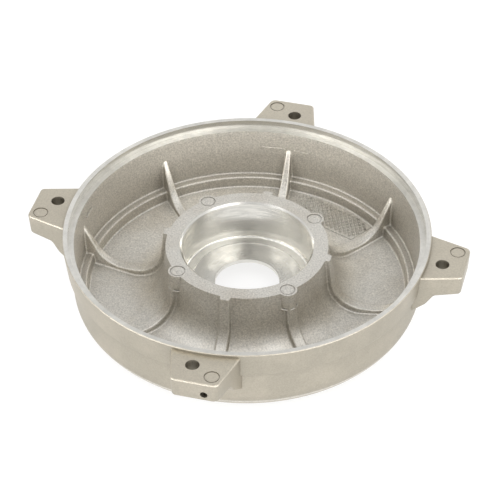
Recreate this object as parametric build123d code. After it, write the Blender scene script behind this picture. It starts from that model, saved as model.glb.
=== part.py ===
from build123d import *
from math import dist, hypot, radians, tan
import os

# Motor end shield (bearing bracket), one die-cast aluminium piece, lying open side up.
# Millimetres. +Z is the motor shaft's axis and points out of the cup. The origin is on that
# axis, in the plane of the foot ring that the casting stands on. The four bolt lugs point
# along +X, +Y, -X and -Y. A section point is (radius from the axis, height above the foot).

# ---- driving dimensions -------------------------------------------------------------------
TOTAL_HEIGHT = 49.5        # foot ring to rim face
SEAT_RADIUS = 36.0         # bearing seat, 72 mm bearings
SEAT_FLOOR_Z = 14.0        # shoulder that the bearing's outer ring would sit against
HUB_TOP_Z = 38.7
HUB_RADIUS = 44.9          # outside of the hub ring at its top
SHAFT_HOLE_RADIUS = 18.0
RIM_RADIUS = 101.1         # outside of the rim
SPIGOT_RADIUS = 98.2       # machined register that centres the stator housing
SPIGOT_DEPTH = 5.4
LUG_CIRCLE_RADIUS = 109.0  # tie-rod holes, 218 mm pitch circle
LUG_HOLE_RADIUS = 3.75
LUG_TOP_Z = 47.5
LUG_COUNT = 4
RIB_COUNT = 8

# ---- cup: outside ---------------------------------------------------------------------------
HUB_UNDERSIDE_Z = 9.8      # the hub's floor is cored from below
CORE_RADIUS = 40.0
CORE_FOOT_RADIUS = 49.0
FOOT_OUTER_RADIUS = 60.0
SKIRT_CORNER = (96.0, 5.2)   # where the sloping underside and the lower wall would meet
SKIRT_CORNER_FILLET = 13.0
LOWER_WALL_TOP = (97.35, 33.2)
BAND_BOTTOM = (99.4, 33.6)   # the thicker band under the rim ends in a small step
BAND_STEP_FILLET = 0.5
CORE_FILLET = 4.0
RIM_CHAMFER = 0.4
OUTER_EDGE_ROUND = 0.8

# ---- cup: inside ----------------------------------------------------------------------------
LEDGE_INNER_RADIUS = 95.05   # inner edge of the machined ledge under the spigot
STEP_OUTER = (93.7, 14.4)    # small as-cast step low on the wall
STEP_INNER_RADIUS = 89.4
FLOOR_EDGE = (88.4, 8.4)
FLOOR_LOW = (48.2, 2.3)      # where the sloping floor and the hub's wall would meet
HUB_FOOT_FILLET = 19.0
SEAT_LEAD_IN = 1.0
SEAT_CORNER_FILLET = 1.3
SHOULDER_INNER_RADIUS = 31.0
DISH_TOP_Z = 13.2
DISH_LOW_Z = 12.1
DISH_EDGE_ROUND = 0.3
CAST_ROUND = 1.0             # rounding of the steps and of the ribs' feet
CUT_CLEAR = 5.0              # how far a cutting shape reaches past the face it cuts

# ---- ribs -----------------------------------------------------------------------------------
RIB_WIDTH = 5.4              # at the hub, level with the hub ring's top
RIB_DRAFT = 1.9              # degrees that each flank leans, so the foot is wider
RIB_TAPER = 1.7              # degrees that each flank turns in towards the wall
RIB_CREST_Z = 8.2            # lowest part of the crest
RIB_HUB_CORNER_RADIUS = 51.2
RIB_WALL_CORNER_RADIUS = 81.6
RIB_WALL_TIP = (95.4, 34.4)
RIB_HUB_TIP_RADIUS = 47.5
RIB_HUB_SWEEP = 17.0         # radius of the crest where it turns up to the hub
RIB_WALL_SWEEP = 18.0        # and where it turns up to the wall
RIB_CREST_ROUND = 1.0
RIB_ROOT = 2.2               # how far a rib reaches into the wall, the floor and the hub

# ---- hub details ----------------------------------------------------------------------------
TAB_WIDTH = 5.5
TAB_OUTER_RADIUS = 47.4
TAB_HEIGHT = 3.0
TAB_ROUND = 1.0
BOSS_CIRCLE_RADIUS = 43.5
BOSS_RADIUS = 5.25
BOSS_BOTTOM_Z = 27.7
BOSS_END_ROUND = 2.5
PIN_MARK_RADIUS = 4.2        # round marks that the mould's ejector pins leave
PIN_MARK_DEPTH = 0.2
PIN_GROOVE_WIDTH = 0.6
PIN_GROOVE_DEPTH = 0.55

# ---- lugs: plan outline in (outwards, sideways) about the lug's own hole direction ------------
LUG_OUTER_X = 121.6
LUG_ROOT_X = 92.0
LUG_RIGHT_Y = -8.4           # outer corner on the narrow side
LUG_LEFT_Y = 16.6            # outer corner on the wide side, beside the ejector mark
LUG_RIGHT_ROOT_Y = -16.4
LUG_LEFT_ROOT_Y = 24.3
LUG_SIDE_DRAFT = 3.5
LUG_NARROW_CORNER = 2.5
LUG_WIDE_CORNER = 3.5
LUG_EDGE_Z = 36.0            # underside at the outer edge
LUG_HEEL = (106.9, 34.2)     # where the flat underside turns into the sloping gusset
LUG_KNEE = (102.8, 28.0)
LUG_BEND_ROUND = 2.5
LUG_TOE_Z = 20.0
LUG_EDGE_ROUND = 0.9
LUG_INNER_LOW = 95.9         # the lugs end inside the wall, lower and upper part
LUG_INNER_HIGH = 99.6
LUG_INNER_STEP_Z = 43.0
LUG_MARK_POS = (115.1, 12.0)
SCREW_HOLE_RADIUS = 2.0      # blind hole in the outer face of the -Y lug
SCREW_HOLE_SIDE = 9.3
SCREW_HOLE_Z = 39.7
SCREW_HOLE_DEPTH = 12.0
SCREW_HOLE_LUG_ANGLE = 270.0


def half_section(corners):
    """A face in the XZ plane from (radius, height, corner radius) points."""
    outline = Polyline(*[(r, z) for r, z, _ in corners], close=True)
    face = make_face(outline.edges()).face()
    for r, z, rounding in corners:
        if rounding > 0:
            corner = face.vertices().sort_by_distance((r, z, 0))[0]
            face = face.fillet_2d(rounding, [corner])
    return Plane.XZ * face


def turned(corners):
    """The solid that a section makes when it turns about the Z axis."""
    return revolve(half_section(corners), Axis.Z)


def around(shape, count, start=0.0):
    """Equally spaced copies of a shape about the Z axis."""
    return [Rot(0, 0, start + 360 * i / count) * shape for i in range(count)]


def outer_block():
    """The cup's outside, still solid, with the cored recess under the hub."""
    rim_z = TOTAL_HEIGHT
    return turned([
        (0, HUB_UNDERSIDE_Z, 0),
        (CORE_RADIUS, HUB_UNDERSIDE_Z, CORE_FILLET),
        (CORE_FOOT_RADIUS, 0, OUTER_EDGE_ROUND),
        (FOOT_OUTER_RADIUS, 0, 0),
        (*SKIRT_CORNER, SKIRT_CORNER_FILLET),
        (*LOWER_WALL_TOP, BAND_STEP_FILLET),
        (*BAND_BOTTOM, OUTER_EDGE_ROUND),
        (RIM_RADIUS, rim_z - RIM_CHAMFER, 0),
        (RIM_RADIUS - RIM_CHAMFER, rim_z, 0),
        (0, rim_z, 0),
    ])


def cavity():
    """Everything that is open: the cup around the hub, the bearing seat and the shaft hole."""
    above = TOTAL_HEIGHT + CUT_CLEAR
    ledge_z = TOTAL_HEIGHT - SPIGOT_DEPTH
    return turned([
        (0, above, 0),
        (SPIGOT_RADIUS, above, 0),
        (SPIGOT_RADIUS, ledge_z, 0),
        (LEDGE_INNER_RADIUS, ledge_z, 0),
        (*STEP_OUTER, 0),
        (STEP_INNER_RADIUS, STEP_OUTER[1], 0),
        (*FLOOR_EDGE, 0),
        (*FLOOR_LOW, HUB_FOOT_FILLET),
        (HUB_RADIUS, HUB_TOP_Z, 0),
        (SEAT_RADIUS + SEAT_LEAD_IN, HUB_TOP_Z, 0),
        (SEAT_RADIUS, HUB_TOP_Z - SEAT_LEAD_IN, 0),
        (SEAT_RADIUS, SEAT_FLOOR_Z, SEAT_CORNER_FILLET),
        (SHOULDER_INNER_RADIUS, SEAT_FLOOR_Z, 0),
        (SHOULDER_INNER_RADIUS, DISH_TOP_Z, DISH_EDGE_ROUND),
        (SHAFT_HOLE_RADIUS, DISH_LOW_Z, 0),
        (SHAFT_HOLE_RADIUS, -CUT_CLEAR, 0),
        (0, -CUT_CLEAR, 0),
    ])


def rounded_at(shape, point, radius):
    """The shape with the edge whose middle is nearest the point rounded."""
    nearest = shape.edges().sort_by(lambda edge: (edge.center() - Vector(point)).length)[0]
    return fillet([nearest], radius)


def lug_block():
    """The lug on +X with its gusset, reaching into the cup."""
    outline = Polyline(
        (LUG_ROOT_X, LUG_RIGHT_ROOT_Y),
        (LUG_OUTER_X, LUG_RIGHT_Y),
        (LUG_OUTER_X, LUG_LEFT_Y),
        (LUG_ROOT_X, LUG_LEFT_ROOT_Y),
        close=True,
    )
    plan = make_face(outline.edges()).face()
    block = extrude(Pos(0, 0, LUG_TOP_Z) * plan, LUG_TOE_Z - LUG_TOP_Z, taper=LUG_SIDE_DRAFT)
    outer_x = LUG_OUTER_X + CUT_CLEAR
    side = half_section([
        (LUG_ROOT_X, LUG_TOP_Z, 0),
        (outer_x, LUG_TOP_Z, 0),
        (outer_x, LUG_EDGE_Z, 0),
        (*LUG_HEEL, 0),
        (*LUG_KNEE, 0),
        (LUG_ROOT_X, LUG_TOE_Z, 0),
    ])
    return block & extrude(side, RIM_RADIUS, both=True)


def lug():
    """The lug on +X with its edges rounded. It ends inside the cup's wall."""
    block = lug_block()
    middle_z = (LUG_TOP_Z + LUG_EDGE_Z) / 2
    middle_y = (LUG_LEFT_Y + LUG_RIGHT_Y) / 2
    block = rounded_at(block, (LUG_OUTER_X, LUG_RIGHT_Y, middle_z), LUG_NARROW_CORNER)
    block = rounded_at(block, (LUG_OUTER_X, LUG_LEFT_Y, middle_z), LUG_WIDE_CORNER)
    block = rounded_at(block, (LUG_HEEL[0], middle_y, LUG_HEEL[1]), LUG_BEND_ROUND)
    block = rounded_at(block, (LUG_KNEE[0], middle_y, LUG_KNEE[1]), LUG_BEND_ROUND)
    block -= turned([
        (0, 0, 0),
        (LUG_INNER_LOW, 0, 0),
        (LUG_INNER_LOW, LUG_INNER_STEP_Z, 0),
        (LUG_INNER_HIGH, LUG_INNER_STEP_Z, 0),
        (LUG_INNER_HIGH, TOTAL_HEIGHT, 0),
        (0, TOTAL_HEIGHT, 0),
    ])
    return fillet(block.edges().filter_by(is_outside_wall), LUG_EDGE_ROUND)


def is_outside_wall(edge):
    """True for the lug's edges that stay in sight."""
    middle = edge.center()
    return hypot(middle.X, middle.Y) > RIM_RADIUS


def rib_flank(hand):
    """What lies outside one flank of the rib on +X. hand is 1 for the flank on +Y, -1 for -Y."""
    lean = tan(radians(RIB_DRAFT))
    turn = tan(radians(RIB_TAPER))
    flank = Plane((HUB_RADIUS, hand * RIB_WIDTH / 2, HUB_TOP_Z), (0, 0, 1), (turn, hand, lean))
    size = 3 * RIM_RADIUS
    return flank * Box(size, size, size, align=(Align.CENTER, Align.CENTER, Align.MIN))


def rib():
    """One rib on +X: a U-shaped crest from the cup's wall over the floor and up the hub."""
    inside_hub = HUB_RADIUS - RIB_ROOT
    side = half_section([
        (inside_hub, HUB_TOP_Z, 0),
        (RIB_HUB_TIP_RADIUS, HUB_TOP_Z, 0),
        (RIB_HUB_CORNER_RADIUS, RIB_CREST_Z, RIB_HUB_SWEEP),
        (RIB_WALL_CORNER_RADIUS, RIB_CREST_Z, RIB_WALL_SWEEP),
        (*RIB_WALL_TIP, 0),
        (RIB_WALL_TIP[0], STEP_OUTER[1] - RIB_ROOT, 0),
        (FLOOR_EDGE[0], FLOOR_EDGE[1] - RIB_ROOT, 0),
        (FOOT_OUTER_RADIUS, RIB_ROOT, 0),
        (CORE_FOOT_RADIUS, RIB_ROOT, 0),
        (inside_hub, HUB_UNDERSIDE_Z + RIB_ROOT, 0),
    ])
    blade = extrude(side, RIB_HUB_SWEEP, both=True)
    blade -= [rib_flank(1), rib_flank(-1)]
    crest = blade.edges().filter_by(is_crest_edge)
    return fillet(crest, RIB_CREST_ROUND)


def is_crest_edge(edge):
    """True for a rib's long edges on its open side."""
    middle = edge.center()
    on_a_flank = abs(middle.Y) > RIB_CREST_ROUND / 2
    between_ends = RIB_HUB_TIP_RADIUS < middle.X < RIB_WALL_TIP[0] - 1
    in_the_wall = middle.X > STEP_INNER_RADIUS and middle.Z < STEP_OUTER[1]
    return on_a_flank and between_ends and middle.Z > RIB_CREST_Z - 0.1 and not in_the_wall


def is_step_edge(edge):
    """True for the arcs of the step low on the wall."""
    if edge.geom_type != GeomType.CIRCLE:
        return False
    places = [STEP_OUTER, (STEP_INNER_RADIUS, STEP_OUTER[1]), FLOOR_EDGE]
    at = (edge.radius, edge.arc_center.Z)
    return any(dist(at, place) < 0.02 for place in places)


def hub_tab():
    """The small square end of a rib on +X, level with the hub ring's top."""
    length = TAB_OUTER_RADIUS - HUB_RADIUS + RIB_ROOT
    plan = Rectangle(length, TAB_WIDTH)
    middle = TAB_OUTER_RADIUS - length / 2
    tab = extrude(Pos(middle, 0, HUB_TOP_Z) * plan, -TAB_HEIGHT)
    corners = tab.edges().filter_by(Axis.Z).group_by(Axis.X)[-1]
    return fillet(corners, TAB_ROUND)


def hub_boss():
    """The round ejector boss on the hub ring, on +X, with its rounded lower end."""
    height = HUB_TOP_Z - BOSS_BOTTOM_Z
    boss = Cylinder(BOSS_RADIUS, height, align=(Align.CENTER, Align.CENTER, Align.MAX))
    boss = fillet(boss.edges().group_by(Axis.Z)[0], BOSS_END_ROUND)
    return Pos(BOSS_CIRCLE_RADIUS, 0, HUB_TOP_Z) * boss


def pin_mark(x, y, z):
    """The round mark of an ejector pin in a face at height z: a dent with a deeper edge."""
    inner = PIN_MARK_RADIUS - PIN_GROOVE_WIDTH
    mark = turned([
        (0, CUT_CLEAR, 0),
        (PIN_MARK_RADIUS, CUT_CLEAR, 0),
        (PIN_MARK_RADIUS, -PIN_GROOVE_DEPTH, 0),
        (inner, -PIN_GROOVE_DEPTH, 0),
        (inner, -PIN_MARK_DEPTH, 0),
        (0, -PIN_MARK_DEPTH, 0),
    ])
    return Pos(x, y, z) * mark


def lug_cuts():
    """The tie-rod hole and the ejector mark of the lug on +X."""
    hole = Pos(LUG_CIRCLE_RADIUS, 0, LUG_TOP_Z) * Cylinder(LUG_HOLE_RADIUS, 2 * LUG_TOP_Z)
    return [hole, pin_mark(*LUG_MARK_POS, LUG_TOP_Z)]


def screw_hole():
    """The blind hole in the outer face of the lug on -Y."""
    drill = Rot(0, 90, 0) * Cylinder(SCREW_HOLE_RADIUS, 2 * SCREW_HOLE_DEPTH)
    place = Pos(LUG_OUTER_X, SCREW_HOLE_SIDE, SCREW_HOLE_Z)
    return Rot(0, 0, SCREW_HOLE_LUG_ANGLE) * place * drill


def ribbed_cup():
    """The cup with its ribs and the rounding where they meet."""
    cup = outer_block() - cavity()
    ribs = around(rib(), RIB_COUNT)
    body = cup + ribs
    feet = new_edges(cup, *ribs, combined=body)
    steps = body.edges().filter_by(is_step_edge)
    return fillet(feet + steps, CAST_ROUND)


def casting():
    """The whole end shield."""
    body = ribbed_cup()
    half_step = 360 / RIB_COUNT
    body += around(lug(), LUG_COUNT)
    body += around(hub_tab(), LUG_COUNT)
    body += around(hub_boss(), LUG_COUNT, half_step)
    body -= around(pin_mark(BOSS_CIRCLE_RADIUS, 0, HUB_TOP_Z), LUG_COUNT, half_step)
    for cut in lug_cuts():
        body -= around(cut, LUG_COUNT)
    return body - screw_hole()


if __name__ == "__main__":
    os.makedirs("parts", exist_ok=True)
    body = casting()
    print("valid", body.is_valid, "solids", len(body.solids()), "volume", round(body.volume))
    export_step(body, "parts/end_shield_casting.step")
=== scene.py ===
import math

import bpy
from bpy.props import (
    FloatProperty, FloatVectorProperty, IntProperty, PointerProperty,
)
from mathutils import Matrix, Vector


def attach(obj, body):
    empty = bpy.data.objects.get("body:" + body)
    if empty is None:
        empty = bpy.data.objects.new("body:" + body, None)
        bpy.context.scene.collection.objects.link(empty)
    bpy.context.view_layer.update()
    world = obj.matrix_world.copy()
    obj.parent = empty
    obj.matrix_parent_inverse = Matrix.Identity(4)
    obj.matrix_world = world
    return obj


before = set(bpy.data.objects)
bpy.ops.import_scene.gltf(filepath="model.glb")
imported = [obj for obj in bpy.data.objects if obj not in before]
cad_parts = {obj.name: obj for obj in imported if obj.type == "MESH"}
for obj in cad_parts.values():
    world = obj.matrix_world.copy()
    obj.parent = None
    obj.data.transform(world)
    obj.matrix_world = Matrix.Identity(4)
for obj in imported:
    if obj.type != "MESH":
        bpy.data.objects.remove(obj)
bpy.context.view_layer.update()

bl_info = {
    "name": "Motor End Shield",
    "version": (1, 0, 0),
    "blender": (4, 5, 0),
    "location": "View3D > Sidebar > End Shield",
    "description": "Finishes a die-cast aluminium motor end shield and sets up its stage",
    "category": "Object",
}

CASTING = "end_shield_casting"
SKIN = "die_cast_aluminium_as_cast_skin"
MM = 0.001

# Radii and heights of the casting in metres, from the motor shaft's axis and the foot ring.
RIM_INNER_R = 98.2 * MM
LEDGE_INNER_R = 95.05 * MM
LEDGE_Z = 44.1 * MM
RIM_Z = 49.5 * MM
SEAT_R = 36.0 * MM
SEAT_LEAD_R = 37.0 * MM
SEAT_TOP_Z = 38.7 * MM
SEAT_FLOOR_Z = 14.0 * MM
SHOULDER_R = 31.0 * MM
DISH_Z = 13.2 * MM
DISH_LOW_Z = 12.1 * MM
WALL_FOOT_R = 93.7 * MM
WALL_FOOT_Z = 14.4 * MM
BOSS_CIRCLE_R = 43.5 * MM
BOSS_R = 5.25 * MM
NEAR = 0.06 * MM

# Azimuths of the hub ring's four round bosses, counted from +X towards +Y.
BOSS_AZIMUTHS = (45, 135, 225, 315)
BOSS_LIP_Z = 28.2 * MM

# The blank panel on the floor of the pocket behind the hub: a sector with one straight side.
PANEL_AZIMUTHS = (50.0, 84.5)
PANEL_MIDDLE_AZIMUTH = 67.5
PANEL_INNER = 69.6 * MM
PANEL_OUTER_R = 86.8 * MM
PANEL_CUTS = 12             # straight cuts that make up its round outer edge
PANEL_SPARE = 1.2           # how much larger the grid is before it is cut
WHOLE_CELL = 0.8            # a cell with this share of its full area counts as whole
POINT_MARGIN = 0.12         # flat edge round each point, and width of its slope, per pitch
POINT_SLOPE = 0.25

# Flash that the die's joints leave on the wall: azimuths of its two ends and its height.
FLASH_LINES = (
    ("flash_beside_rib_right", 81.0, 88.9, 33.0 * MM),
    ("flash_beside_rib_left", 91.0, 100.5, 33.3 * MM),
    ("flash_above_left_rib", 172.0, 178.8, 35.4 * MM),
)


def linear(hex_colour):
    """An sRGB hex colour as a linear RGB triple."""
    triple = []
    for at in (1, 3, 5):
        level = int(hex_colour[at:at + 2], 16) / 255
        if level <= 0.04045:
            triple.append(level / 12.92)
        else:
            triple.append(((level + 0.055) / 1.055) ** 2.4)
    return tuple(triple)


# ---- settings that a user would change ------------------------------------------------------

class CastingSettings(bpy.types.PropertyGroup):
    """Colours and sizes of the casting's surfaces."""

    skin: FloatVectorProperty(
        name="Inner skin", description="Colour of the as-cast skin inside the cup",
        subtype="COLOR", size=3, min=0, max=1, default=linear("#dcd9d2"))
    outer_skin: FloatVectorProperty(
        name="Outer skin", description="Colour of the handled skin outside the cup",
        subtype="COLOR", size=3, min=0, max=1, default=linear("#ada79a"))
    stain: FloatVectorProperty(
        name="Wall stain", description="Colour that die lubricant leaves in the skin",
        subtype="COLOR", size=3, min=0, max=1, default=linear("#c4bcae"))
    turned: FloatVectorProperty(
        name="Turned faces", description="Colour of the freshly machined faces",
        subtype="COLOR", size=3, min=0, max=1, default=linear("#e4e2dc"))
    grit: FloatProperty(
        name="Grit", description="Grain size of the blasted die's print in the skin",
        subtype="DISTANCE", unit="LENGTH", min=0.0001, max=0.005, default=0.9 * MM)
    lathe_pitch: FloatProperty(
        name="Lathe pitch", description="Distance between the tool marks, as coarse as shows",
        subtype="DISTANCE", unit="LENGTH", min=0.0001, max=0.005, default=0.55 * MM)


class DetailSettings(bpy.types.PropertyGroup):
    """Sizes of the small raised details inside the cup."""

    knurl_pitch: FloatProperty(
        name="Knurl pitch", description="Distance between the panel's raised points",
        subtype="DISTANCE", unit="LENGTH", min=0.0005, max=0.01, default=2.3 * MM)
    knurl_height: FloatProperty(
        name="Knurl height", description="How far the points stand above the panel",
        subtype="DISTANCE", unit="LENGTH", min=0.0001, max=0.002, default=1.0 * MM)
    panel_lift: FloatProperty(
        name="Panel lift", description="How far the panel stands above the floor",
        subtype="DISTANCE", unit="LENGTH", min=0.00005, max=0.002, default=0.3 * MM)
    flash_height: FloatProperty(
        name="Flash height", description="Height of the flash's thin bead on the wall",
        subtype="DISTANCE", unit="LENGTH", min=0.0001, max=0.003, default=0.9 * MM)
    flash_reach: FloatProperty(
        name="Flash reach", description="How far the flash stands out of the wall",
        subtype="DISTANCE", unit="LENGTH", min=0.0001, max=0.003, default=0.8 * MM)
    lip: FloatProperty(
        name="Boss lip", description="Half the thickness of the lip round each boss's foot",
        subtype="DISTANCE", unit="LENGTH", min=0.0001, max=0.002, default=0.38 * MM)
    segments: IntProperty(
        name="Segments", description="Steps round the full circle that flash is cut from",
        min=24, max=720, default=360)


class StageSettings(bpy.types.PropertyGroup):
    """Floor, lights and camera."""

    camera_from: FloatVectorProperty(
        name="Camera place", description="Where the camera stands",
        subtype="TRANSLATION", unit="LENGTH", size=3, default=(0.2433, -0.8983, 0.8314))
    camera_at: FloatVectorProperty(
        name="Camera aim", description="The point in the middle of the view",
        subtype="TRANSLATION", unit="LENGTH", size=3, default=(0.00613, -0.0164, 0.0495))
    camera_roll: FloatProperty(
        name="Camera roll", description="Turn about the line of sight",
        subtype="ANGLE", unit="ROTATION", default=math.radians(-0.42))
    lens: FloatProperty(
        name="Lens", description="Focal length on a 36 mm sensor, in millimetres",
        min=20, max=400, default=159.8)
    floor: FloatVectorProperty(
        name="Floor", description="Colour of the studio floor",
        subtype="COLOR", size=3, min=0, max=1, default=linear("#8a8a89"))
    glow: FloatProperty(
        name="Glow", description="Light that comes through the table",
        min=0, max=2, default=0.79)
    flag: FloatProperty(
        name="Flag", description="Side of the black card behind the camera",
        subtype="DISTANCE", unit="LENGTH", min=0.05, max=2, default=0.44)
    floor_size: FloatProperty(
        name="Floor size", description="Side of the square floor",
        subtype="DISTANCE", unit="LENGTH", min=1, max=50, default=12.0)


# ---- nodes ----------------------------------------------------------------------------------

def node(tree, kind, settings=None, values=None, links=None):
    """Adds a node, sets its properties and socket values, and links its inputs."""
    made = tree.nodes.new(kind)
    for key, value in (settings or {}).items():
        setattr(made, key, value)
    for key, value in (values or {}).items():
        made.inputs[key].default_value = value
    for key, source in (links or {}).items():
        tree.links.new(source, made.inputs[key])
    return made


def new_material(name):
    """An empty node material and its tree."""
    material = bpy.data.materials.new(name)
    material.use_nodes = True
    material.node_tree.nodes.clear()
    return material, material.node_tree


def finish_material(tree, shader):
    """Links the shader to the material's output."""
    node(tree, "ShaderNodeOutputMaterial", links={"Surface": shader.outputs["BSDF"]})


def rgba(colour):
    """A colour with full alpha."""
    return (*colour, 1.0)


def axis_coordinates(tree):
    """Object coordinates, the distance from the shaft's axis and the height, as sockets."""
    place = node(tree, "ShaderNodeTexCoord").outputs["Object"]
    flat = node(tree, "ShaderNodeVectorMath", {"operation": "MULTIPLY"},
                {1: (1, 1, 0)}, {0: place}).outputs[0]
    radius = node(tree, "ShaderNodeVectorMath", {"operation": "LENGTH"},
                  links={0: flat}).outputs["Value"]
    height = node(tree, "ShaderNodeSeparateXYZ", links={0: place}).outputs["Z"]
    return place, radius, height


def band(tree, value, low, high, soft):
    """1 where a value lies between low and high, with soft ends."""
    up = node(tree, "ShaderNodeMapRange", {"interpolation_type": "SMOOTHSTEP"},
              {"From Min": low - soft, "From Max": low + soft}, {"Value": value}).outputs[0]
    down = node(tree, "ShaderNodeMapRange", {"interpolation_type": "SMOOTHSTEP"},
                {"From Min": high - soft, "From Max": high + soft, "To Min": 1, "To Max": 0},
                {"Value": value}).outputs[0]
    return node(tree, "ShaderNodeMath", {"operation": "MULTIPLY"},
                links={0: up, 1: down}).outputs[0]


# ---- materials ------------------------------------------------------------------------------

CLOUD_SIZE = 26 * MM        # size of the pale patches that the metal's flow leaves
CORNER_SHADE_REACH = 7 * MM       # how near other faces have to be to lay painted shade in corners
OUTSIDE_R = 95.4 * MM       # just beyond the wall's inner face, where the outer skin starts
OUTSIDE_BLEND = 0.5 * MM
STAIN_FROM_R = 88 * MM      # the browner part of the inner wall: radius and heights
STAIN_HEIGHTS = (5 * MM, 43 * MM)
STAIN_SOFT_R = 0.8 * MM
STAIN_SOFT_Z = 2 * MM
STREAK_SIZE = 1.3 * MM      # width of the handling streaks on turned faces
NOISE_SPAN = {"From Min": 0.3, "From Max": 0.7}     # where nearly all of a noise's values lie


def cast_skin_material(settings):
    """Die-cast aluminium skin, as it leaves the die."""
    # The die's blasted surface prints a fine grit into the skin, so it looks satin and even.
    # Die lubricant leaves the deep walls a little browner, and the metal's flow leaves
    # faint cloudy patches. Ambient occlusion draws the corners darker, which is painted
    # shade as well as the lubricant that the corners keep.
    material, tree = new_material(SKIN)
    place, radius, height = axis_coordinates(tree)
    clouds = node(tree, "ShaderNodeTexNoise",
                  values={"Scale": 1 / CLOUD_SIZE, "Detail": 4.0, "Roughness": 0.6},
                  links={"Vector": place}).outputs["Fac"]
    grit = node(tree, "ShaderNodeTexNoise",
                values={"Scale": 1 / settings.grit, "Detail": 3.0, "Roughness": 0.7},
                links={"Vector": place}).outputs["Fac"]
    facing = node(tree, "ShaderNodeNewGeometry").outputs["Normal"]
    upward = node(tree, "ShaderNodeSeparateXYZ", links={0: facing}).outputs["Z"]

    # The outer skin covers all beyond the inner wall, and the faces that look down.
    beyond_wall = node(tree, "ShaderNodeMapRange",
                       values={"From Min": OUTSIDE_R, "From Max": OUTSIDE_R + OUTSIDE_BLEND},
                       links={"Value": radius}).outputs[0]
    underneath = node(tree, "ShaderNodeMapRange", values={"From Min": -0.4, "From Max": -0.6},
                      links={"Value": upward}).outputs[0]
    outside = node(tree, "ShaderNodeMath", {"operation": "MAXIMUM"},
                   links={0: beyond_wall, 1: underneath}).outputs[0]

    # Outer faces that look up are drawn up to half as light again: painted light from above.
    painted_top_light = node(tree, "ShaderNodeMapRange",
                     values={"From Min": 0.3, "From Max": 0.9, "To Min": 1.0, "To Max": 1.5},
                     links={"Value": upward}).outputs[0]
    outer = node(tree, "ShaderNodeVectorMath", {"operation": "SCALE"},
                 {0: settings.outer_skin}, {"Scale": painted_top_light}).outputs[0]
    clean = node(tree, "ShaderNodeMix", {"data_type": "RGBA"}, {6: rgba(settings.skin)},
                 {0: outside, 7: outer}).outputs[2]

    # The stain lies evenly on the wall and in patches elsewhere.
    ring = band(tree, radius, STAIN_FROM_R, OUTSIDE_R, STAIN_SOFT_R)
    belt = band(tree, height, *STAIN_HEIGHTS, STAIN_SOFT_Z)
    wall = node(tree, "ShaderNodeMath", {"operation": "MULTIPLY"},
                links={0: ring, 1: belt}).outputs[0]
    wall_share = node(tree, "ShaderNodeMapRange", values={"To Max": 0.35},
                      links={"Value": wall}).outputs[0]
    cloud_share = node(tree, "ShaderNodeMapRange",
                       values={"From Min": 0.42, "From Max": 0.72, "To Max": 0.5},
                       links={"Value": clouds}).outputs[0]
    share = node(tree, "ShaderNodeMath", {"operation": "MAXIMUM"},
                 links={0: wall_share, 1: cloud_share}).outputs[0]
    base = node(tree, "ShaderNodeMix", {"data_type": "RGBA"}, {7: rgba(settings.stain)},
                {0: share, 6: clean}).outputs[2]

    # Ambient occlusion draws the skin darker in corners and hollows: painted shade.
    # The grit shows more inside the cup than on the handled outside.
    recess = node(tree, "ShaderNodeAmbientOcclusion", {"samples": 6},
                  {"Distance": CORNER_SHADE_REACH}).outputs["AO"]
    painted_corner_shade = node(tree, "ShaderNodeMapRange",
                  values={"From Min": 0.35, "From Max": 0.95, "To Min": 0.72},
                  links={"Value": recess}).outputs[0]
    inner_grain = node(tree, "ShaderNodeMapRange",
                       values={**NOISE_SPAN, "To Min": 0.7, "To Max": 1.22},
                       links={"Value": grit}).outputs[0]
    outer_grain = node(tree, "ShaderNodeMapRange",
                       values={**NOISE_SPAN, "To Min": 0.86, "To Max": 1.08},
                       links={"Value": grit}).outputs[0]
    grain = node(tree, "ShaderNodeMix",
                 links={0: outside, 2: inner_grain, 3: outer_grain}).outputs[0]
    shade = node(tree, "ShaderNodeMath", {"operation": "MULTIPLY"},
                 links={0: grain, 1: painted_corner_shade}).outputs[0]
    colour = node(tree, "ShaderNodeVectorMath", {"operation": "SCALE"},
                  links={0: base, "Scale": shade}).outputs[0]
    rough = node(tree, "ShaderNodeMapRange",
                 values={**NOISE_SPAN, "To Min": 0.4, "To Max": 0.54},
                 links={"Value": grit}).outputs[0]
    bump = node(tree, "ShaderNodeBump", values={"Strength": 0.8, "Distance": 0.1 * MM},
                links={"Height": grit}).outputs[0]
    shader = node(tree, "ShaderNodeBsdfPrincipled", values={"Metallic": 1.0},
                  links={"Base Color": colour, "Roughness": rough, "Normal": bump})
    finish_material(tree, shader)
    return material


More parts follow.
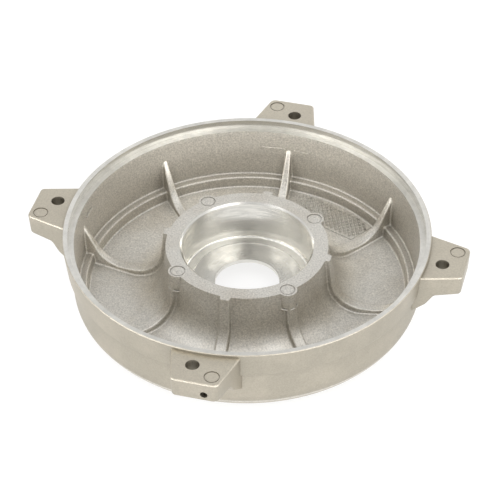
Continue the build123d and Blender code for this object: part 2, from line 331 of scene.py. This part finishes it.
def turned_material(name, settings, along_height, gloss, tone):
    """Machined aluminium with the tool's fine rings."""
    # The tool leaves fine rings round the axis. They stretch each highlight across the rings,
    # so a turned face shows bright and dark fans instead of a round gleam. In a bore, the
    # tool's chatter and the handling leave short streaks that run round it.
    material, tree = new_material(name)
    place, radius, height = axis_coordinates(tree)
    across = height if along_height else radius
    line = node(tree, "ShaderNodeCombineXYZ", links={"X": across}).outputs[0]
    rings = node(tree, "ShaderNodeTexNoise",
                 values={"Scale": 1 / settings.lathe_pitch, "Detail": 2.0, "Roughness": 0.7},
                 links={"Vector": line}).outputs["Fac"]
    drawn = node(tree, "ShaderNodeVectorMath", {"operation": "MULTIPLY"},
                 {1: (0.1, 0.1, 1.0)}, {0: place}).outputs[0]
    streaks = node(tree, "ShaderNodeTexNoise",
                   values={"Scale": 1 / STREAK_SIZE, "Detail": 4.0, "Roughness": 0.75},
                   links={"Vector": drawn}).outputs["Fac"]
    ring_tone = node(tree, "ShaderNodeMapRange",
                     values={**NOISE_SPAN, "To Min": 0.94, "To Max": 1.04},
                     links={"Value": rings}).outputs[0]
    streak_tone = node(tree, "ShaderNodeMapRange",
                       values={**NOISE_SPAN, "To Min": 0.86 * tone, "To Max": 1.16 * tone},
                       links={"Value": streaks}).outputs[0]
    marks = node(tree, "ShaderNodeMath", {"operation": "MULTIPLY"},
                 links={0: ring_tone, 1: streak_tone}).outputs[0]
    colour = node(tree, "ShaderNodeVectorMath", {"operation": "SCALE"},
                  {0: settings.turned}, {"Scale": marks}).outputs[0]
    ring_rough = node(tree, "ShaderNodeMapRange",
                      values={**NOISE_SPAN, "To Min": gloss, "To Max": gloss + 0.06},
                      links={"Value": rings}).outputs[0]
    streak_rough = node(tree, "ShaderNodeMapRange",
                        values={**NOISE_SPAN, "To Min": 0.13, "To Max": 0.0},
                        links={"Value": streaks}).outputs[0]
    rough = node(tree, "ShaderNodeMath", {"operation": "ADD"},
                 links={0: ring_rough, 1: streak_rough}).outputs[0]
    bump = node(tree, "ShaderNodeBump", values={"Strength": 0.3, "Distance": 0.008 * MM},
                links={"Height": rings}).outputs[0]
    along = node(tree, "ShaderNodeVectorMath", {"operation": "CROSS_PRODUCT"},
                 {0: (0, 0, 1)}, {1: place}).outputs[0]
    groove = node(tree, "ShaderNodeVectorMath", {"operation": "NORMALIZE"},
                  links={0: along}).outputs[0]
    shader = node(tree, "ShaderNodeBsdfPrincipled", values={"Metallic": 1.0, "Anisotropic": 0.6},
                  links={"Base Color": colour, "Roughness": rough, "Normal": bump,
                         "Tangent": groove})
    finish_material(tree, shader)
    return material


def flag_material():
    """Black velvet of the card behind the camera."""
    # Velvet gives back almost no light, so polished metal mirrors it as a dark patch.
    material, tree = new_material("black_velvet_flag")
    shader = node(tree, "ShaderNodeBsdfPrincipled",
                  values={"Base Color": rgba(linear("#0c0c0c")), "Roughness": 1.0,
                          "Specular IOR Level": 0.0})
    finish_material(tree, shader)
    return material


def floor_material(settings):
    """White translucent acrylic of a light table, lit softly from below."""
    # The even glow keeps the floor pale and leaves only a faint shadow.
    material, tree = new_material("light_table_acrylic_opal")
    shader = node(tree, "ShaderNodeBsdfPrincipled",
                  values={"Base Color": rgba(settings.floor), "Roughness": 0.8,
                          "Emission Color": (1, 1, 1, 1), "Emission Strength": settings.glow})
    finish_material(tree, shader)
    return material


# ---- the casting ----------------------------------------------------------------------------

def surface_kind(corners):
    """Which finish a triangle of the casting has, from where its corners lie.

    0 is the cast skin, 1 a satin face turned across the axis, 2 a bore or register along it
    and 3 the bright dish round the shaft hole."""
    radii = [math.hypot(c.x, c.y) for c in corners]
    heights = [c.z for c in corners]

    def all_at(values, target):
        return all(abs(v - target) < NEAR for v in values)

    def all_between(values, low, high):
        return all(low - NEAR < v < high + NEAR for v in values)

    if all_at(heights, RIM_Z) or all_at(heights, LEDGE_Z) and all_between(
            radii, LEDGE_INNER_R, RIM_INNER_R):
        return 1
    if all_at(heights, SEAT_FLOOR_Z) and max(radii) < SEAT_R + NEAR:
        return 1
    if all_at(radii, RIM_INNER_R) and min(heights) > LEDGE_Z - NEAR:
        return 2
    if all_between(heights, DISH_Z, SEAT_TOP_Z) and all_between(radii, SHOULDER_R, SEAT_LEAD_R):
        flat_top = all_at(heights, SEAT_TOP_Z)
        return 0 if flat_top else 2
    if max(radii) < SHOULDER_R + NEAR and max(heights) < SEAT_FLOOR_Z + NEAR:
        return 3 if min(heights) > DISH_LOW_Z - NEAR else 1
    return 0


class ENDSHIELD_OT_finish_casting(bpy.types.Operator):
    """Gives the casting its as-cast skin and its machined faces"""

    bl_idname = "end_shield.finish_casting"
    bl_label = "Finish Casting"

    def execute(self, context):
        settings = context.scene.end_shield_casting
        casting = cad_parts[CASTING]
        mesh = casting.data
        mesh.materials.clear()
        mesh.materials.append(cast_skin_material(settings))
        mesh.materials.append(turned_material(
            "aluminium_face_turned", settings, False, 0.3, 1.0))
        mesh.materials.append(turned_material(
            "aluminium_bore_turned", settings, True, 0.12, 1.0))
        mesh.materials.append(turned_material(
            "aluminium_dish_turned", settings, False, 0.14, 0.86))
        counts = [0, 0, 0, 0]
        for polygon in mesh.polygons:
            corners = [mesh.vertices[i].co for i in polygon.vertices]
            kind = surface_kind(corners)
            polygon.material_index = kind
            counts[kind] += 1
        if min(counts) == 0:
            raise RuntimeError(f"a finish has no face on the casting: {counts}")
        return {"FINISHED"}


# ---- raised details -------------------------------------------------------------------------

def direction(azimuth):
    """The level unit vector at an azimuth in degrees, counted from +X towards +Y."""
    turn = math.radians(azimuth)
    return Vector((math.cos(turn), math.sin(turn), 0.0))


def wall_radius(height):
    """Radius of the cup's drafted inner wall at a height."""
    share = (height - WALL_FOOT_Z) / (LEDGE_Z - WALL_FOOT_Z)
    return WALL_FOOT_R + share * (LEDGE_INNER_R - WALL_FOOT_R)


def start_piece(name):
    """Names the primitive that was just added and puts its place into its mesh."""
    piece = bpy.context.object
    piece.name = name
    piece.data.name = name
    bpy.ops.object.transform_apply(location=True, rotation=True, scale=True)
    return piece


def cut_away(point, outwards, close=False):
    """In edit mode, drops what lies beyond a plane."""
    bpy.ops.mesh.select_all(action="SELECT")
    bpy.ops.mesh.bisect(plane_co=point, plane_no=outwards, clear_outer=True, use_fill=close)


def apply_modifier(piece, kind, **settings):
    """Adds a modifier and applies it."""
    modifier = piece.modifiers.new(kind.lower(), kind)
    for key, value in settings.items():
        setattr(modifier, key, value)
    bpy.ops.object.modifier_apply(modifier=modifier.name)


def finish_piece(piece):
    """Smooths a piece, gives it the casting's skin and fastens it to the casting."""
    if not piece.data.polygons:
        raise RuntimeError(f"{piece.name} has no faces")
    bpy.ops.object.shade_smooth_by_angle(angle=math.radians(40))
    piece.data.materials.append(bpy.data.materials[SKIN])
    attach(piece, "root")
    bpy.ops.object.select_all(action="DESELECT")


class ENDSHIELD_OT_add_knurled_panel(bpy.types.Operator):
    """Adds the blank knurled panel on the floor of one pocket"""

    bl_idname = "end_shield.add_knurled_panel"
    bl_label = "Add Knurled Panel"

    def execute(self, context):
        settings = context.scene.end_shield_details
        bpy.ops.object.select_all(action="DESELECT")
        outwards = direction(PANEL_MIDDLE_AZIMUTH)
        side = PANEL_SPARE * PANEL_OUTER_R * 2 * math.sin(math.radians(
            (PANEL_AZIMUTHS[1] - PANEL_AZIMUTHS[0]) / 2))
        cells = round(side / settings.knurl_pitch)
        place = outwards * (PANEL_INNER + PANEL_OUTER_R) / 2
        place.z = SEAT_TOP_Z
        bpy.ops.mesh.primitive_grid_add(
            x_subdivisions=cells, y_subdivisions=cells, size=side, location=place,
            rotation=(0, 0, math.radians(PANEL_MIDDLE_AZIMUTH + 45)))
        panel = start_piece("knurled_panel")
        bpy.ops.object.mode_set(mode="EDIT")
        cut_away(outwards * PANEL_INNER, -outwards)
        first, last = PANEL_AZIMUTHS
        cut_away((0, 0, 0), direction(first - 90))
        cut_away((0, 0, 0), direction(last + 90))
        for cut in range(PANEL_CUTS + 1):
            tangent = direction(first + (last - first) * cut / PANEL_CUTS)
            cut_away(tangent * PANEL_OUTER_R, tangent)
        bpy.ops.object.mode_set(mode="OBJECT")
        apply_modifier(panel, "SHRINKWRAP", target=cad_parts[CASTING],
                       wrap_method="PROJECT", use_project_z=True,
                       use_negative_direction=True, use_positive_direction=False)
        self.raise_points(panel, side / cells, settings)
        apply_modifier(panel, "SOLIDIFY", thickness=1.5 * settings.panel_lift, offset=-1)
        finish_piece(panel)
        return {"FINISHED"}

    def raise_points(self, panel, pitch, settings):
        """Lifts the panel off the floor and raises a blunt point on each whole cell."""
        bpy.ops.object.mode_set(mode="EDIT")
        bpy.ops.mesh.select_mode(type="FACE")
        bpy.ops.mesh.select_all(action="SELECT")
        bpy.ops.transform.translate(value=(0, 0, settings.panel_lift))
        bpy.ops.object.mode_set(mode="OBJECT")
        for polygon in panel.data.polygons:
            polygon.select = polygon.area > WHOLE_CELL * pitch ** 2
        bpy.ops.object.mode_set(mode="EDIT")
        bpy.ops.mesh.inset(thickness=POINT_MARGIN * pitch, use_individual=True)
        bpy.ops.mesh.inset(thickness=POINT_SLOPE * pitch, depth=settings.knurl_height,
                           use_individual=True)
        bpy.ops.object.mode_set(mode="OBJECT")


class ENDSHIELD_OT_add_flash_lines(bpy.types.Operator):
    """Adds the thin flash that the die's joints leave on the wall"""

    bl_idname = "end_shield.add_flash_lines"
    bl_label = "Add Flash Lines"

    def execute(self, context):
        settings = context.scene.end_shield_details
        for name, first, last, height in FLASH_LINES:
            self.add_line(name, first, last, height, settings)
        return {"FINISHED"}

    def add_line(self, name, first, last, height, settings):
        """One bead along the wall: an arc of a circle, raised and thickened."""
        bpy.ops.object.select_all(action="DESELECT")
        radius = wall_radius(height) - settings.flash_reach / 2
        bpy.ops.mesh.primitive_circle_add(
            vertices=settings.segments, radius=radius, location=(0, 0, height))
        line = start_piece(name)
        bpy.context.tool_settings.mesh_select_mode = (True, False, False)
        for edge in line.data.edges:
            edge.select = False
        for vertex in line.data.vertices:
            azimuth = math.degrees(math.atan2(vertex.co.y, vertex.co.x)) % 360
            vertex.select = not first <= azimuth <= last
        bpy.ops.object.mode_set(mode="EDIT")
        bpy.ops.mesh.delete(type="VERT")
        bpy.ops.mesh.select_all(action="SELECT")
        bpy.ops.mesh.extrude_region_move(
            TRANSFORM_OT_translate={"value": (0, 0, settings.flash_height)})
        bpy.ops.object.mode_set(mode="OBJECT")
        apply_modifier(line, "SOLIDIFY", thickness=1.6 * settings.flash_reach, offset=0)
        apply_modifier(line, "BEVEL", width=0.3 * settings.flash_reach, segments=2)
        self.face_outwards()
        finish_piece(line)

    def face_outwards(self):
        """Turns every face of the closed bead outwards."""
        bpy.ops.object.mode_set(mode="EDIT")
        bpy.ops.mesh.select_all(action="SELECT")
        bpy.ops.mesh.normals_make_consistent(inside=False)
        bpy.ops.object.mode_set(mode="OBJECT")


class ENDSHIELD_OT_add_boss_lips(bpy.types.Operator):
    """Adds the thin lip round the foot of each boss on the hub"""

    bl_idname = "end_shield.add_boss_lips"
    bl_label = "Add Boss Lips"

    def execute(self, context):
        settings = context.scene.end_shield_details
        for azimuth in BOSS_AZIMUTHS:
            outwards = direction(azimuth)
            place = outwards * BOSS_CIRCLE_R
            place.z = BOSS_LIP_Z
            bpy.ops.object.select_all(action="DESELECT")
            bpy.ops.mesh.primitive_torus_add(
                major_segments=64, minor_segments=12, major_radius=BOSS_R,
                minor_radius=settings.lip, location=place)
            lip = start_piece(f"boss_lip_{azimuth}")
            bpy.ops.object.mode_set(mode="EDIT")
            cut_away(place, -outwards, close=True)
            bpy.ops.mesh.select_all(action="SELECT")
            bpy.ops.transform.resize(value=(1, 1, 1.5), center_override=place)
            bpy.ops.object.mode_set(mode="OBJECT")
            finish_piece(lip)
        return {"FINISHED"}


# ---- stage ----------------------------------------------------------------------------------

# Soft boxes round the object: name, azimuth and elevation in degrees seen from the object
# (azimuth 0 is -Y, 90 is +X), width and height in metres, and how bright the box looks.
SOFT_BOXES = (
    ("soft_box_front", 0, 9, 1.6, 0.3, 8.0),
    ("soft_box_front_left", -48, 15, 1.1, 0.6, 6.6),
    ("soft_box_front_right", 52, 15, 1.1, 0.6, 7.4),
    ("soft_box_right", 92, 15, 1.1, 0.6, 2.0),
    ("soft_box_back", 180, 18, 1.6, 0.6, 0.8),
    ("soft_box_left_high", -60, 60, 1.0, 1.0, 0.9),
    ("soft_box_right_high", 60, 60, 1.0, 1.0, 1.3),
)
SOFT_BOX_DISTANCE = 1.6
FLAG_BEHIND_CAMERA = 0.25
SURROUND_LIGHT = 0.72       # strength of the even white light from all round


def add_soft_box(name, azimuth, elevation, width, height, brightness):
    """A rectangular area light that faces the middle of the object."""
    turn, lift = math.radians(azimuth), math.radians(elevation)
    away = Vector((
        math.sin(turn) * math.cos(lift), -math.cos(turn) * math.cos(lift), math.sin(lift)))
    light = bpy.data.lights.new(name, "AREA")
    light.shape = "RECTANGLE"
    light.size, light.size_y = width, height
    light.energy = math.pi * width * height * brightness
    holder = bpy.data.objects.new(name, light)
    bpy.context.scene.collection.objects.link(holder)
    holder.location = away * SOFT_BOX_DISTANCE
    holder.rotation_euler = (-away).to_track_quat("-Z", "Y").to_euler()


class ENDSHIELD_OT_set_stage(bpy.types.Operator):
    """Adds the floor, the soft lights, the camera and its black card"""

    bl_idname = "end_shield.set_stage"
    bl_label = "Set Stage"

    def execute(self, context):
        settings = context.scene.end_shield_stage
        bpy.ops.object.select_all(action="DESELECT")
        bpy.ops.mesh.primitive_plane_add(size=settings.floor_size, location=(0, 0, 0))
        floor = context.object
        floor.name = "studio_floor"
        floor.data.materials.append(floor_material(settings))
        self.set_world(context.scene)
        for box in SOFT_BOXES:
            add_soft_box(*box)
        self.set_camera(context.scene, settings)
        self.add_flag(context.scene, settings)
        return {"FINISHED"}

    def add_flag(self, scene, settings):
        """A black card that the bore and the dish mirror, and that no camera sees."""
        view = (Vector(settings.camera_at) - Vector(settings.camera_from)).normalized()
        bpy.ops.object.select_all(action="DESELECT")
        bpy.ops.mesh.primitive_plane_add(
            size=settings.flag,
            location=Vector(settings.camera_from) - view * FLAG_BEHIND_CAMERA,
            rotation=(-view).to_track_quat("Z", "Y").to_euler())
        card = bpy.context.object
        card.name = "camera_flag"
        card.visible_camera = False
        card.data.materials.append(flag_material())

    def set_world(self, scene):
        """Even white light from all round, shown without a film look."""
        world = bpy.data.worlds.new("studio_light")
        world.use_nodes = True
        background = world.node_tree.nodes["Background"]
        background.inputs["Color"].default_value = (1.0, 1.0, 1.0, 1.0)
        background.inputs["Strength"].default_value = SURROUND_LIGHT
        scene.world = world
        scene.view_settings.view_transform = "Standard"
        scene.view_settings.look = "None"

    def set_camera(self, scene, settings):
        """The camera at its place, aimed and rolled."""
        lens = bpy.data.cameras.new("product_camera")
        lens.lens = settings.lens
        lens.sensor_width = 36
        lens.clip_start = 0.05
        lens.clip_end = 50
        camera = bpy.data.objects.new("product_camera", lens)
        scene.collection.objects.link(camera)
        place, aim = Vector(settings.camera_from), Vector(settings.camera_at)
        camera.location = place
        facing = (aim - place).to_track_quat("-Z", "Y").to_matrix().to_4x4()
        facing.translation = place
        roll = Matrix.Rotation(settings.camera_roll, 4, "Z")
        camera.matrix_world = facing @ roll
        scene.camera = camera


# ---- add-on ---------------------------------------------------------------------------------

class VIEW3D_PT_end_shield(bpy.types.Panel):
    """Lists the steps that build the end shield's look"""

    bl_idname = "VIEW3D_PT_end_shield"
    bl_label = "End Shield"
    bl_space_type = "VIEW_3D"
    bl_region_type = "UI"
    bl_category = "End Shield"

    def draw(self, context):
        column = self.layout.column()
        column.operator("end_shield.finish_casting")
        column.operator("end_shield.add_knurled_panel")
        column.operator("end_shield.add_flash_lines")
        column.operator("end_shield.add_boss_lips")
        column.operator("end_shield.set_stage")
        scene = context.scene
        for group in (scene.end_shield_casting, scene.end_shield_details, scene.end_shield_stage):
            for key in group.bl_rna.properties.keys():
                if key not in {"rna_type", "name"}:
                    column.prop(group, key)


CLASSES = (
    CastingSettings,
    DetailSettings,
    StageSettings,
    ENDSHIELD_OT_finish_casting,
    ENDSHIELD_OT_add_knurled_panel,
    ENDSHIELD_OT_add_flash_lines,
    ENDSHIELD_OT_add_boss_lips,
    ENDSHIELD_OT_set_stage,
    VIEW3D_PT_end_shield,
)


def register():
    for cls in CLASSES:
        bpy.utils.register_class(cls)
    bpy.types.Scene.end_shield_casting = PointerProperty(type=CastingSettings)
    bpy.types.Scene.end_shield_details = PointerProperty(type=DetailSettings)
    bpy.types.Scene.end_shield_stage = PointerProperty(type=StageSettings)


def unregister():
    del bpy.types.Scene.end_shield_stage
    del bpy.types.Scene.end_shield_details
    del bpy.types.Scene.end_shield_casting
    for cls in reversed(CLASSES):
        bpy.utils.unregister_class(cls)


def main():
    register()
    bpy.ops.end_shield.finish_casting()
    bpy.ops.end_shield.add_knurled_panel()
    bpy.ops.end_shield.add_flash_lines()
    bpy.ops.end_shield.add_boss_lips()
    bpy.ops.end_shield.set_stage()


if __name__ == "__main__":
    main()
